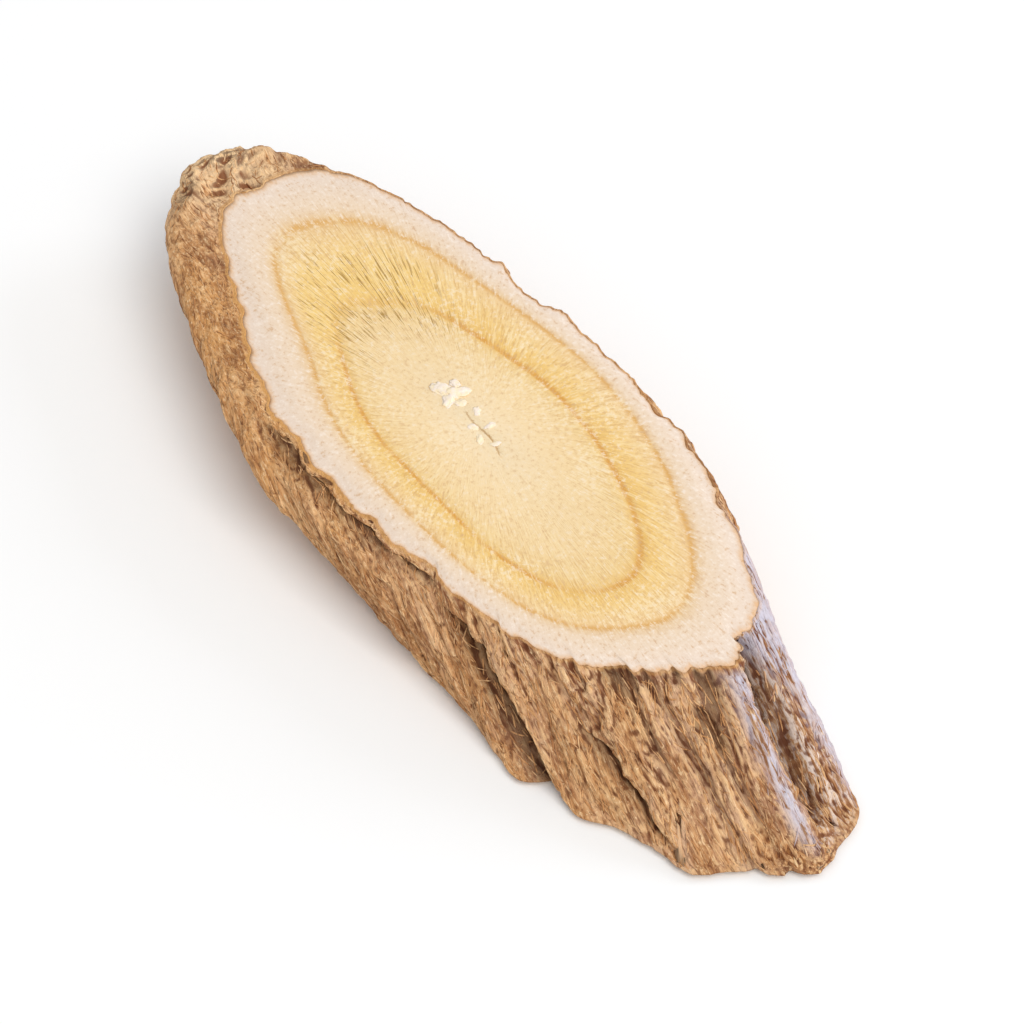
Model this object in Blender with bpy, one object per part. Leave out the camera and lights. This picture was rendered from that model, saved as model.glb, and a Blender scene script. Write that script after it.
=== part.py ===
# One thick slice of dried astragalus root, lying on its lower cut face.
# The root was cut twice at a flat angle to its length, by parallel blades. Both cut faces
# are therefore long ovals, and the strip of bark between them leans towards +X.
# Units are metres. +Z is up, and +X runs from the thin lip to the long sloping end.

import math

import bmesh
import bpy
from mathutils import Vector, noise

MM = 0.001

# The upper cut face is an oval. The lower one has the same size and lies beyond it by LEAN,
# which is also the direction in which the root grew.
FACE_HALF_LENGTH = 22.7 * MM
FACE_HALF_WIDTH = 9.0 * MM
THICKNESS = 5.5 * MM
LEAN = Vector((10.7 * MM, -1.2 * MM))
UPPER_CENTRE = Vector((-3.62 * MM, 1.30 * MM))
PITH_OFFSET = Vector((0.3 * MM, -0.2 * MM))

# The root isn't quite round. Each lobe is (waves round the root, share of radius, angle of crest).
LOBES = ((3, 0.031, 45.3), (4, 0.011, -27.8), (6, 0.019, 19.8), (7, 0.008, -4.0))

# Swellings of the bark on the left flank and round the thin lip: (angle, spread, height).
LIP_SWELLINGS = (
    (-148.0, 30.0, 3.1 * MM),
    (-176.0, 11.0, 0.9 * MM),
    (-180.0, 22.0, 3.2 * MM),
    (-104.0, 26.0, 1.9 * MM),
)
LIP_FULL_HEIGHT = 3.3 * MM
LIP_ROUNDING = 1.4
SWELLING_ENDS = (-141.0, 75.0, 9.0)
# The lip itself is a rough knob that stands up a little over the cut: angle, spread, height.
LIP_KNOB = (-173.0, 20.0, 0.60 * MM)

# Hollows and swellings that grow towards the lower edge: (angle, spread, height there).
TOE_SHAPE = (
    (-92.0, 14.0, -0.90 * MM),
    (-69.0, 6.0, 0.45 * MM),
    (-47.0, 12.0, -0.80 * MM),
    (-22.0, 12.0, -0.25 * MM),
    (4.0, 9.0, 0.45 * MM),
    (25.0, 9.0, -0.20 * MM),
    (56.0, 10.0, -0.45 * MM),
)

# Furrows that run along the root: angle at the upper edge and at the lower edge, half width
# in degrees, depth, and the stretch of the flank that they cover, 0 above and 1 below.
FURROWS = (
    (-67.0, -63.0, 2.6, 1.50 * MM, (0.12, 1.10)),
    (-56.0, -35.0, 3.0, 0.80 * MM, (0.38, 1.10)),
    (-30.0, -24.0, 2.6, 0.45 * MM, (-0.10, 0.60)),
    (-20.0, -15.0, 2.4, 0.40 * MM, (-0.10, 1.10)),
    (-11.0, -3.0, 2.8, 0.55 * MM, (0.10, 1.10)),
    (-1.0, -5.0, 2.6, 0.50 * MM, (-0.10, 0.30)),
    (19.0, 17.0, 5.5, 1.10 * MM, (-0.10, 0.92)),
    (53.0, 52.0, 8.0, 0.40 * MM, (-0.10, 1.10)),
)
# Ridges, given the same way, stand out between them.
RIDGES = (
    (-60.0, -58.0, 3.0, 0.45 * MM, (0.10, 1.10)),
    (8.0, 4.0, 3.2, 0.70 * MM, (-0.10, 0.95)),
    (31.0, 30.0, 7.0, 0.35 * MM, (-0.10, 1.10)),
)
# Pits and knobs of the bark: angle, place on the flank, reach in degrees and on the flank,
# and height, which is negative for a pit.
PITS_AND_KNOBS = (
    (-9.0, 0.26, 4.0, 0.07, -0.60 * MM),
    (-97.0, 0.08, 5.0, 0.07, -0.60 * MM),
    (-84.0, 0.12, 7.0, 0.06, -0.55 * MM),
    (-166.0, 0.16, 5.0, 0.07, -0.70 * MM),
    (-178.0, 0.10, 5.0, 0.06, -0.55 * MM),
    (172.0, 0.22, 5.0, 0.08, -0.50 * MM),
    (5.0, 0.88, 9.0, 0.09, 0.60 * MM),
)

# Wrinkles of the dried bark, from coarse to fine: (waves per metre, height).
WRINKLES = ((330.0, 0.42 * MM), (760.0, 0.20 * MM))
WRINKLE_TURNS = 1.6

# Growth rings, as levels from 0 at the pith to 1 at the bark, and how deep they dried in.
# The inner ones lie nearer to the bark on one side of the root than on the other.
RING_LEVELS = (0.555, 0.785)
RING_SHIFT = 0.075
RING_SHIFT_TOWARDS = -29.0
RING_WIDTH = 0.035
RING_DEPTH = 0.10 * MM
FACE_WAVE_HEIGHT = 0.10 * MM
FACE_WAVES = 120.0
RIM_WEAR = 0.16 * MM

# The split in the pith, along the slice.
SPLIT_HALF_LENGTH = 2.7 * MM
SPLIT_HALF_WIDTH = 0.45 * MM
SPLIT_DEPTH = 0.35 * MM

# The lower face stands on a flat middle, and its edge lifts off the table.
FLAT_SHARE = 0.60
LOWER_EDGE_LIFT = 0.35 * MM

# The rings of points, from the pith of the upper face over the bark to that of the lower one.
AROUND = 160
UPPER_LEVELS = (0.06, 0.13, 0.26, 0.40, 0.50, 0.555, 0.61, 0.72, 0.785, 0.85, 0.94, 1.0)
FLANK_STEPS = 15
LOWER_LEVELS = (1.0, 0.90, FLAT_SHARE, 0.30)

BARK_BROWN = (0.42, 0.25, 0.13, 1.0)
CUT_CREAM = (0.87, 0.68, 0.40, 1.0)


def smooth(low, high, value):
    """0 below low, 1 above high, and an even S curve between them."""
    share = min(max((value - low) / (high - low), 0.0), 1.0)
    return share * share * (3.0 - 2.0 * share)


def turn_between(angle, centre):
    """Degrees from centre to angle, the short way round."""
    return (angle - centre + 180.0) % 360.0 - 180.0


def hump(offset, width):
    """A rounded crest, 1 in its middle and near 0 at two widths from it."""
    return math.exp(-((offset / width) ** 2))


def humps(angle, shape):
    """The summed height at an angle of a list of (angle, spread, height)."""
    return sum(
        height * hump(turn_between(angle, centre), spread) for centre, spread, height in shape
    )


def outline_share(angle):
    """The root's radius at an angle, as a share of the plain oval's."""
    lobes = (
        share * math.cos(math.radians(waves * turn_between(angle, crest)))
        for waves, share, crest in LOBES
    )
    return 1.0 + sum(lobes)


def oval(angle):
    """A point of the plain oval, and its direction away from the root's middle."""
    turn = math.radians(angle)
    point = Vector((FACE_HALF_LENGTH * math.cos(turn), FACE_HALF_WIDTH * math.sin(turn)))
    outward = Vector((point.x / FACE_HALF_LENGTH**2, point.y / FACE_HALF_WIDTH**2))
    return point, outward.normalized()


def lip_swelling(angle):
    """How far the bark swells out at an angle, where the lip is at its thickest."""
    middle, half_stretch, fade = SWELLING_ENDS
    past_end = abs(turn_between(angle, middle)) - half_stretch
    return humps(angle, LIP_SWELLINGS) * smooth(fade, 0.0, past_end)


def strip_height(angle, depth, strips):
    """The summed height of furrows or ridges, which run along the root."""
    total = 0.0
    for above, below, width, height, (start, end) in strips:
        centre = above + (below - above) * depth
        along = smooth(start, start + 0.16, depth) - smooth(end - 0.12, end, depth)
        total += height * hump(turn_between(angle, centre), width) * along
    return total


def wrinkle_height(angle, depth):
    """Folds of the dried bark: long waves that follow the root and wander a little."""
    point, _ = oval(angle)
    total = 0.0
    for frequency, height in WRINKLES:
        place = Vector((point.x * frequency, point.y * frequency, depth * WRINKLE_TURNS))
        total += height * (noise.noise(place) - 0.35 * abs(noise.noise(place * 1.7)))
    return total


def bark_height(angle, depth):
    """How far the bark stands out from the plain leaning oval."""
    height = lip_swelling(angle) * math.sin(math.pi * depth**0.62)
    height += depth * humps(angle, TOE_SHAPE)
    height += strip_height(angle, depth, RIDGES) - strip_height(angle, depth, FURROWS)
    for centre, level, width, reach, rise in PITS_AND_KNOBS:
        height += rise * hump(turn_between(angle, centre), width) * hump(depth - level, reach)
    return height + wrinkle_height(angle, depth)


def bark_point(angle, depth):
    """A point on the bark. depth is 0 on the upper cut edge and 1 on the lower one."""
    point, outward = oval(angle)
    lip = min(lip_swelling(angle) / LIP_FULL_HEIGHT, 1.0)
    fall = depth + lip * (depth**LIP_ROUNDING - depth)
    flat = UPPER_CENTRE + point * outline_share(angle) + LEAN * fall
    flat += outward * bark_height(angle, depth)
    rise = humps(angle, [LIP_KNOB]) * hump(depth - 0.09, 0.08)
    edges = -RIM_WEAR * hump(depth, 0.05) + LOWER_EDGE_LIFT * hump(depth - 1.0, 0.06)
    return Vector((flat.x, flat.y, THICKNESS * (1.0 - fall) + rise + edges))


def split_depth(place):
    """The depth of the split at a place given from the pith."""
    along = 1.0 - smooth(0.6, 1.0, abs(place.x) / SPLIT_HALF_LENGTH)
    return SPLIT_DEPTH * along * hump(place.y, SPLIT_HALF_WIDTH)


def grown_share(level, angle):
    """How far from the pith to the bark a level of growth lies. The rings are off centre."""
    towards = math.cos(math.radians(angle - RING_SHIFT_TOWARDS))
    return level + RING_SHIFT * towards * 9.0 * level * (1.0 - level) ** 2


def upper_face_point(angle, level):
    """A point on the upper cut face, from the pith at level 0 to the bark at 1."""
    edge = bark_point(angle, 0.0)
    middle = UPPER_CENTRE + PITH_OFFSET
    flat = middle.lerp(edge.to_2d(), grown_share(level, angle))
    rings = sum(RING_DEPTH * hump(level - ring, RING_WIDTH) for ring in RING_LEVELS)
    wave = FACE_WAVE_HEIGHT * noise.noise(flat.to_3d() * FACE_WAVES) * (1.0 - level)
    rim = (edge.z - THICKNESS) * smooth(0.88, 1.0, level)
    return Vector((flat.x, flat.y, THICKNESS + rim - rings - split_depth(flat - middle) - wave))


def lower_face_point(angle, level):
    """A point on the lower cut face. Its middle is the flat spot that the slice lies on."""
    edge = bark_point(angle, 1.0)
    flat = (UPPER_CENTRE + PITH_OFFSET + LEAN).lerp(edge.to_2d(), level)
    return Vector((flat.x, flat.y, edge.z * smooth(FLAT_SHARE, 1.0, level)))


def surface_rings():
    """Each ring of points as a function of the angle and its value, from top to bottom."""
    upper = [(upper_face_point, level) for level in UPPER_LEVELS]
    flank = [(bark_point, step / FLANK_STEPS) for step in range(1, FLANK_STEPS)]
    lower = [(lower_face_point, level) for level in LOWER_LEVELS]
    return upper + flank + lower


def spread_angle(turn):
    """Evens out the spacing round the oval: closer along its sides than at its ends."""
    return math.degrees(turn + 0.25 * math.sin(2.0 * turn))


def shape_slice(mesh):
    """Draws a globe of rings out into the slice: its poles become the two ends of the pith."""
    rings = [(upper_face_point, 0.0), *surface_rings(), (lower_face_point, 0.0)]
    last = len(rings) - 1
    globe = bmesh.new()
    bmesh.ops.create_uvsphere(globe, u_segments=AROUND, v_segments=last, radius=1.0)
    for vertex in globe.verts:
        x, y, z = vertex.co
        ring = round(math.acos(max(-1.0, min(1.0, z))) / math.pi * last)
        point_at, value = rings[ring]
        vertex.co = point_at(spread_angle(math.atan2(y, x)), value)
    bmesh.ops.recalc_face_normals(globe, faces=globe.faces)
    globe.to_mesh(mesh)
    globe.free()


def surface_material(name, colour, roughness):
    """A dull natural surface with no metal in it."""
    material = bpy.data.materials.new(name)
    material.use_nodes = True
    shader = material.node_tree.nodes["Principled BSDF"]
    shader.inputs["Base Color"].default_value = colour
    shader.inputs["Roughness"].default_value = roughness
    shader.inputs["Metallic"].default_value = 0.0
    return material


def clear_scene():
    """Removes whatever the scene held before."""
    for old in list(bpy.data.objects):
        bpy.data.objects.remove(old, do_unlink=True)


def make_slice():
    """Makes the one solid: bark all round, and a cut face above and below."""
    mesh = bpy.data.meshes.new("root_slice")
    shape_slice(mesh)
    mesh.materials.append(surface_material("bark", BARK_BROWN, 0.85))
    mesh.materials.append(surface_material("cut_root", CUT_CREAM, 0.70))
    mesh.shade_smooth()
    mesh.set_sharp_from_angle(angle=math.radians(50.0))
    for face in mesh.polygons:
        face.material_index = 1 if abs(face.normal.z) > 0.93 else 0
    collection = bpy.data.collections.new("astragalus_root")
    bpy.context.scene.collection.children.link(collection)
    root_slice = bpy.data.objects.new("root_slice", mesh)
    collection.objects.link(root_slice)
    return root_slice


clear_scene()
make_slice()
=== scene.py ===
import math

import bpy
import numpy as np
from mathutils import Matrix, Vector, noise


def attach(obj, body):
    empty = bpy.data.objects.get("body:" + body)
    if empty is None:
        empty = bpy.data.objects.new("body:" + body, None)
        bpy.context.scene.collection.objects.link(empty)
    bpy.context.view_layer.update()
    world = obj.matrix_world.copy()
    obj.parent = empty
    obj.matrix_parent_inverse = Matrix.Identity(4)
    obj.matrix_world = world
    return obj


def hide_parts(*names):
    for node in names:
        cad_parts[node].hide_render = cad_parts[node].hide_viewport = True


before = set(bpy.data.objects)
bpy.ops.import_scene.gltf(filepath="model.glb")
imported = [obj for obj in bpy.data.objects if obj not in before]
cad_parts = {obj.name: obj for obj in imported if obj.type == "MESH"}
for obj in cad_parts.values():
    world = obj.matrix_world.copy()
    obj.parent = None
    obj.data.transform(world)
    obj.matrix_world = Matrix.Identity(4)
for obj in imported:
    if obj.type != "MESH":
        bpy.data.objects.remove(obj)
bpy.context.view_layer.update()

# The bark: the dried root's own skin, a dull brown cork that shrank into wrinkles along the
# root. Two cuts run slantwise through the root, so the strip of bark leans and its edges are
# long ovals. Two closed skins, sunk a little into the wood, meet in the trough and at the knob.
MM = 0.001
FACE_HALF_LENGTH = 22.7 * MM
FACE_HALF_WIDTH = 9.0 * MM
THICKNESS = 5.5 * MM
LEAN = np.array((10.7 * MM, -1.2 * MM))
UPPER_CENTRE = np.array((-3.62 * MM, 1.30 * MM))
ROOT_AXIS = np.array((*LEAN, -THICKNESS)) / math.hypot(*LEAN, THICKNESS)
UP = np.array((0.0, 0.0, 1.0))
# Angles are degrees round the root from its toe. Depth is 0 at the upper cut, 1 at the lower.
# A lobe: its waves round the root, its share of the radius and the angle of a crest.
LOBES = ((3, 0.031, 45.3), (4, 0.011, -27.8), (6, 0.019, 19.8), (7, 0.008, -4.0))
# A swelling, a knob or a part of the toe: its angle, spread and height.
LIP_SWELLINGS = (
    (-148.0, 30.0, 3.1 * MM),
    (-176.0, 11.0, 0.9 * MM),
    (-180.0, 22.0, 3.2 * MM),
    (-104.0, 26.0, 1.9 * MM),
)
LIP_FULL_HEIGHT = 3.3 * MM
LIP_ROUNDING = 1.4
LIP_BULGE_POWER = 0.62
LIP_MIDDLE = -141.0
LIP_HALF_STRETCH = 75.0
LIP_END_FADE = 9.0
LIP_KNOB = (-173.0, 20.0, 0.60 * MM)
LIP_KNOB_DEPTH = 0.09
LIP_KNOB_REACH = 0.08
TOE_SHAPE = (
    (-92.0, 14.0, -0.90 * MM),
    (-69.0, 6.0, 0.45 * MM),
    (-47.0, 12.0, -0.80 * MM),
    (-22.0, 12.0, -0.25 * MM),
    (4.0, 9.0, 0.45 * MM),
    (25.0, 9.0, -0.20 * MM),
    (56.0, 10.0, -0.45 * MM),
)
# A furrow or a ridge: its angles at the two cuts, spread, height and the depths of its ends.
FURROWS = (
    (-67.0, -63.0, 2.6, 1.50 * MM, (0.12, 1.10)),
    (-56.0, -35.0, 3.0, 0.80 * MM, (0.38, 0.97)),
    (-30.0, -24.0, 2.6, 0.45 * MM, (-0.10, 0.60)),
    (-20.0, -15.0, 2.4, 0.40 * MM, (-0.10, 1.10)),
    (-11.0, -3.0, 2.8, 0.55 * MM, (0.10, 1.10)),
    (1.0, -21.0, 3.4, 0.75 * MM, (-0.04, 0.46)),
    (19.0, 17.0, 5.5, 1.10 * MM, (-0.065, 0.92)),
    (53.0, 52.0, 8.0, 0.40 * MM, (-0.10, 1.10)),
)
RIDGES = (
    (-60.0, -58.0, 3.0, 0.45 * MM, (0.10, 1.10)),
    (8.0, 4.0, 3.2, 0.70 * MM, (-0.10, 0.95)),
    (31.0, 30.0, 7.0, 0.35 * MM, (-0.10, 1.10)),
)
STRIP_START_FADE = 0.16
STRIP_END_FADE = 0.12
# A pit, knob, notch, gap or chip: its angle, depth, spread, reach in depth and rise.
PITS_AND_KNOBS = (
    (-11.0, 0.30, 3.4, 0.07, -0.60 * MM),
    (-97.0, 0.08, 5.0, 0.07, -0.60 * MM),
    (-84.0, 0.12, 7.0, 0.06, -0.55 * MM),
    (-164.5, 0.11, 5.0, 0.06, -0.70 * MM),
    (-178.5, 0.08, 5.0, 0.05, -0.50 * MM),
    (172.0, 0.22, 5.0, 0.08, -0.50 * MM),
    (5.0, 0.88, 9.0, 0.09, 0.60 * MM),
)
# A size of wrinkle: its waves a metre and its height.
WRINKLES = ((330.0, 0.42 * MM), (760.0, 0.20 * MM))
WRINKLE_TURNS = 1.6
WRINKLE_CREASE = 0.35
RIM_WEAR = 0.16 * MM
RIM_WEAR_REACH = 0.05
LOWER_EDGE_LIFT = 0.35 * MM
LOWER_EDGE_REACH = 0.06
EDGE_NOTCHES = (
    (-40.0, 0.06, 1.3, 0.07, -0.25 * MM),
    (-32.0, 0.05, 1.6, 0.11, -0.30 * MM),
    (-26.0, 0.04, 1.5, 0.10, -0.45 * MM),
    (-21.5, 0.06, 1.2, 0.14, -0.45 * MM),
    (-15.0, 0.03, 1.3, 0.07, -0.30 * MM),
    (-10.5, 0.04, 1.9, 0.09, -0.65 * MM),
    (-3.5, 0.04, 1.6, 0.07, -0.50 * MM),
    (1.5, 0.03, 1.3, 0.06, -0.35 * MM),
    (28.0, 0.04, 1.4, 0.07, -0.30 * MM),
)
GAPS_AND_CHIPS = (
    (-119.0, 0.045, 6.0, 0.025, -0.35 * MM),
    (-104.0, 0.055, 7.0, 0.028, -0.50 * MM),
    (-92.0, 0.070, 8.0, 0.030, -0.65 * MM),
    (-81.0, 0.080, 5.0, 0.030, -0.60 * MM),
    (-74.0, 0.090, 4.0, 0.035, -0.50 * MM),
    (-97.0, 0.130, 2.0, 0.028, 0.30 * MM),
    (-93.0, 0.170, 1.6, 0.030, 0.34 * MM),
    (-88.0, 0.200, 1.5, 0.028, 0.26 * MM),
    (-81.0, 0.230, 2.2, 0.035, 0.36 * MM),
)
RIB_HEIGHT = 0.24 * MM
CORD_HEIGHT = 0.12 * MM
THREAD_HEIGHT = 0.045 * MM
CRUMB_HEIGHT = 0.06 * MM
RELIEF_DRIFT = 0.55 * MM
KNOB_TEAR = 0.65 * MM
TOE_TEAR = 0.90 * MM
KNOB_WAVES = (560.0, 480.0, 700.0)
TOE_WAVES = (520.0, 950.0, 950.0)
AROUND = 1500
COLUMN_SPREAD = 0.25
BARK_ROWS = 106
ROW_CROWDING = 1.15
ROW_CROWDING_AT_LIP = 0.85
FIRST_SUNK_ROW = 4
LAST_SUNK_ROW = BARK_ROWS - 18
SKIN_ROWS = 7
SKIN_DEPTH = 1.2 * MM
GAP_TO_LOWER_CUT = 0.05 * MM
GAP_TO_UPPER_CUT = 0.15 * MM
LEVEL_BAND = 0.6 * MM
CORK_WIDTH = 0.15 * MM
CORK_WIDTH_CHANGE = 0.6
CORK_BEAD = 0.03 * MM
CORK_DROP = 0.10 * MM
LOWER_BEAD = 0.03 * MM
BEAD_ROWS = 3
HIGHEST = 6.03 * MM
TOP_EASING = 0.25 * MM
NEAR_HOLLOW_DEPTH = 0.10 * MM
WIDE_HOLLOW_DEPTH = 0.36 * MM
FOLD_HOLLOW_SPAN = (0.05 * MM, 0.75 * MM)
BARK_SPLITS = (20.5, 176.0)


def smooth(zero_at, one_at, value):
    """0 up to one value, 1 from another on, and an even S curve between them."""
    share = np.clip((value - zero_at) / (one_at - zero_at), 0.0, 1.0)
    return share * share * (3.0 - 2.0 * share)


def turn_between(angle, centre):
    """Degrees from centre to angle, the short way round."""
    return (angle - centre + 180.0) % 360.0 - 180.0


def hump(offset, width):
    """A rounded crest, 1 in its middle and near 0 at two widths from it."""
    return np.exp(-((offset / width) ** 2))


def humps(angle, shape):
    """The summed height at an angle of a list of (angle, spread, height)."""
    return sum(height * hump(turn_between(angle, at), spread) for at, spread, height in shape)


def grain(places):
    """Smooth noise, about -1 to 1, at an array of places."""
    flat = places.reshape(-1, 3).tolist()
    return np.array([noise.noise(place) for place in flat]).reshape(places.shape[:-1])


def root_grain(places, across, along, shift=0.0):
    """Noise with its own number of waves a metre across the root and along it."""
    run = (places @ ROOT_AXIS)[..., None] * ROOT_AXIS
    return grain((places - run) * across + run * along + shift)


def oval(angle):
    """Points of the plain oval, and their directions away from the root's middle."""
    turn = np.radians(angle)
    point = np.stack((FACE_HALF_LENGTH * np.cos(turn), FACE_HALF_WIDTH * np.sin(turn)), -1)
    outward = point / (FACE_HALF_LENGTH**2, FACE_HALF_WIDTH**2)
    return point, outward / np.linalg.norm(outward, axis=-1, keepdims=True)


def grown_oval(angle):
    """The root's outline in a cut face, lobed but with no wrinkles, from the face's middle."""
    lobes = 1.0 + sum(
        share * np.cos(np.radians(waves * turn_between(angle, crest)))
        for waves, share, crest in LOBES
    )
    return oval(angle)[0] * lobes[..., None]


def strip_height(angle, depth, strips):
    """The summed height of furrows or ridges, which run along the root."""
    total = 0.0
    for above, below, spread, height, (start, end) in strips:
        middle = above + (below - above) * depth
        started = smooth(start, start + STRIP_START_FADE, depth)
        ended = smooth(end - STRIP_END_FADE, end, depth)
        total = total + height * hump(turn_between(angle, middle), spread) * (started - ended)
    return total


def spot_height(angle, depth, spots):
    """The summed height of single pits, notches, knobs and chips."""
    return sum(
        rise * hump(turn_between(angle, at), spread) * hump(depth - level, reach)
        for at, level, spread, reach, rise in spots
    )


def wrinkle_height(point, depth):
    """The large folds of the dried bark, which follow the root and wander a little."""
    total = 0.0
    for frequency, height in WRINKLES:
        place = np.concatenate((point * frequency, depth[..., None] * WRINKLE_TURNS), -1)
        total = total + height * (grain(place) - WRINKLE_CREASE * np.abs(grain(place * 1.7)))
    return total


def lip_share(angle):
    """How far the bark swells over the edge of the cut at an angle, from 0 to about 1."""
    past_end = np.abs(turn_between(angle, LIP_MIDDLE)) - LIP_HALF_STRETCH
    return humps(angle, LIP_SWELLINGS) * smooth(LIP_END_FADE, 0.0, past_end) / LIP_FULL_HEIGHT


def bark_shape(angle, depth):
    """The bark's points with its folds, and how deep it is hollowed at each."""
    swelling = lip_share(angle)
    fall = depth + np.minimum(swelling, 1.0) * (depth**LIP_ROUNDING - depth)
    rise = humps(angle, [LIP_KNOB]) * hump(depth - LIP_KNOB_DEPTH, LIP_KNOB_REACH)
    lower_lift = LOWER_EDGE_LIFT * hump(depth - 1.0, LOWER_EDGE_REACH)
    edges = -RIM_WEAR * hump(depth, RIM_WEAR_REACH) + lower_lift
    spots = spot_height(angle, depth, PITS_AND_KNOBS + EDGE_NOTCHES + GAPS_AND_CHIPS)
    furrows = strip_height(angle, depth, FURROWS)
    wrinkles = wrinkle_height(oval(angle)[0], depth)
    height = LIP_FULL_HEIGHT * swelling * np.sin(math.pi * depth**LIP_BULGE_POWER)
    height = height + depth * humps(angle, TOE_SHAPE) + strip_height(angle, depth, RIDGES)
    height = (height + spots - furrows + wrinkles)[..., None]
    flat = UPPER_CENTRE + grown_oval(angle) + LEAN * fall[..., None] + oval(angle)[1] * height
    level = THICKNESS * (1.0 - fall) + rise + edges
    return np.concatenate((flat, level[..., None]), -1), furrows - spots - 0.6 * wrinkles


def outward_from(points):
    """Directions out of a grid of points whose columns go round the root."""
    round_way = np.roll(points, -1, axis=1) - np.roll(points, 1, axis=1)
    out = np.cross(np.gradient(points, axis=0), round_way)
    return out / np.linalg.norm(out, axis=-1, keepdims=True)


def sunk(rows, deep):
    """Rows of the bark's points, moved into the root and kept between its two cut faces."""
    moved = bark_folds[rows] - bark_out[rows] * deep
    lowest = bark_folds[-1, :, 2] + GAP_TO_LOWER_CUT
    highest = bark_folds[0, :, 2] - GAP_TO_UPPER_CUT
    moved[..., 2] = np.clip(moved[..., 2], lowest, highest)
    return moved


def below_top(points):
    """Points with those near the greatest height eased down under it."""
    over = np.maximum(points[..., 2:] - HIGHEST + TOP_EASING, 0.0)
    return points + UP * (TOP_EASING * np.tanh(over / TOP_EASING) - over)


def hollowness(height, reach):
    """How far each cell of a grid lies under those at a reach from it on four sides."""
    rows = np.arange(len(height))
    up, down = np.maximum(rows - reach, 0), np.minimum(rows + reach, len(height) - 1)
    beside = np.roll(height, reach, axis=1) + np.roll(height, -reach, axis=1)
    return (beside + height[up] + height[down]) / 4.0 - height


def knob_share(angle, depth):
    """1 on the rough knob of the lip, 0 away from it."""
    return hump(turn_between(angle, -175.0), 14.0) * smooth(0.75, 0.25, depth)


def toe_share(angle, depth):
    """1 on the ragged end of the toe, 0 away from it."""
    return hump(turn_between(angle, 4.0), 14.0) * smooth(0.74, 0.92, depth)


def trough_share(angle, depth):
    """1 in the rough trough beside the long ridge, 0 away from it."""
    near_side = smooth(11.0 - 4.0 * depth, 14.0 - 4.0 * depth, angle)
    return near_side * smooth(33.0, 27.0, angle) * smooth(1.0, 0.88, depth)


def ridge_share(angle, depth):
    """1 on the two smoother ridges of the toe, where a cool sheen is painted, 0 away from them.
    """
    long_ridge = hump(turn_between(angle, 7.6 - 4.6 * depth), 3.0 - 1.1 * depth)
    long_ridge = long_ridge * smooth(0.88, 0.70, depth)
    outer_ridge = smooth(26.0, 32.0, angle + 6.5 * hump(depth, 0.25)) * smooth(62.0, 44.0, angle)
    outer_ridge = outer_ridge * smooth(0.98, 0.80, depth)
    return np.clip(long_ridge * smooth(0.0, 0.05, depth) + outer_ridge, 0.0, 1.0)


def shade_share(angle, depth):
    """1 in the dark hollow between the face of the toe and the long ridge, 0 away from it."""
    beside_ridge = hump(turn_between(angle, 0.2 - 18.0 * depth), 4.6)
    return beside_ridge * smooth(0.0, 0.04, depth) * smooth(0.54, 0.38, depth)


def bark_relief(angle, depth, surface):
    """The small wrinkles, fibres and crumbs that cover the folds, as a height."""
    drift = np.stack([grain(surface * 380.0 + 7.0 * axis) for axis in (1, 2, 3)], -1)
    place = surface + RELIEF_DRIFT * drift
    ribs = np.abs(root_grain(place, 900.0, 110.0, 3.0))
    cords = np.abs(root_grain(place, 2300.0, 380.0, 11.0))
    threads = root_grain(place, 4300.0, 900.0, 17.0)
    crumbs = grain(place * 2500.0)
    on_knob = np.abs(angle) > 100.0
    waves = np.where(on_knob[..., None], KNOB_WAVES, TOE_WAVES)
    pits = 1.3 * np.abs(grain(place * waves + 5.0))
    pits = pits + 0.7 * np.abs(grain(place * waves * 2.3 + 9.0))
    patches = smooth(-0.2, 0.3, grain(surface * 330.0 + 21.0))
    height = RIB_HEIGHT * (1.9 * ribs - 0.5) + CORD_HEIGHT * (2.2 * cords - 0.5)
    height = height * (0.6 + 0.5 * patches) + THREAD_HEIGHT * threads + CRUMB_HEIGHT * crumbs
    under_face = hump(turn_between(angle, -22.0), 36.0) * smooth(0.55, 0.1, depth)
    height = height * (1.0 + 0.45 * under_face)
    height = height * (1.0 - 0.55 * np.clip(lip_share(angle), 0.0, 1.0))
    height = height * (1.0 + 0.6 * trough_share(angle, depth))
    torn = np.clip(knob_share(angle, depth) + toe_share(angle, depth), 0.0, 1.0)
    tear = np.where(on_knob, KNOB_TEAR, TOE_TEAR)
    height = height * (1.0 - 0.5 * torn) + torn * tear * (0.26 - pits)
    return height * (1.0 - 0.4 * ridge_share(angle, depth)) * smooth(1.10, 0.80, depth)


def made_of_grid(name, grid, closed_way):
    """A closed mesh over a grid of points. It joins on to itself down its rows (0) or round
    its columns (1), and a face closes each of its two open ends."""
    rows, columns = grid.shape[:2]
    index = np.arange(rows * columns).reshape(rows, columns)
    if closed_way == 0:
        ends = index[::-1, 0], index[:, -1]
        index = np.vstack((index, index[:1]))
    else:
        ends = index[0], index[-1, ::-1]
        index = np.hstack((index, index[:, :1]))
    quads = np.stack((index[:-1, :-1], index[1:, :-1], index[1:, 1:], index[:-1, 1:]), -1)
    faces = quads.reshape(-1, 4).tolist() + [end.tolist() for end in ends]
    return made_of_faces(name, grid.reshape(-1, 3), faces)


def made_of_faces(name, points, faces):
    """A smooth-shaded piece with these points and faces."""
    mesh = bpy.data.meshes.new(name)
    mesh.from_pydata(points.tolist(), [], faces)
    mesh.shade_smooth()
    piece = bpy.data.objects.new(name, mesh)
    bpy.context.scene.collection.objects.link(piece)
    return piece


def keep_on_points(piece, name, *values):
    """Stores three numbers at each point, for the material to read."""
    layer = piece.data.attributes.new(name, "FLOAT_VECTOR", "POINT")
    layer.data.foreach_set("vector", np.stack(values, -1).astype(np.float32).reshape(-1))


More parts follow.
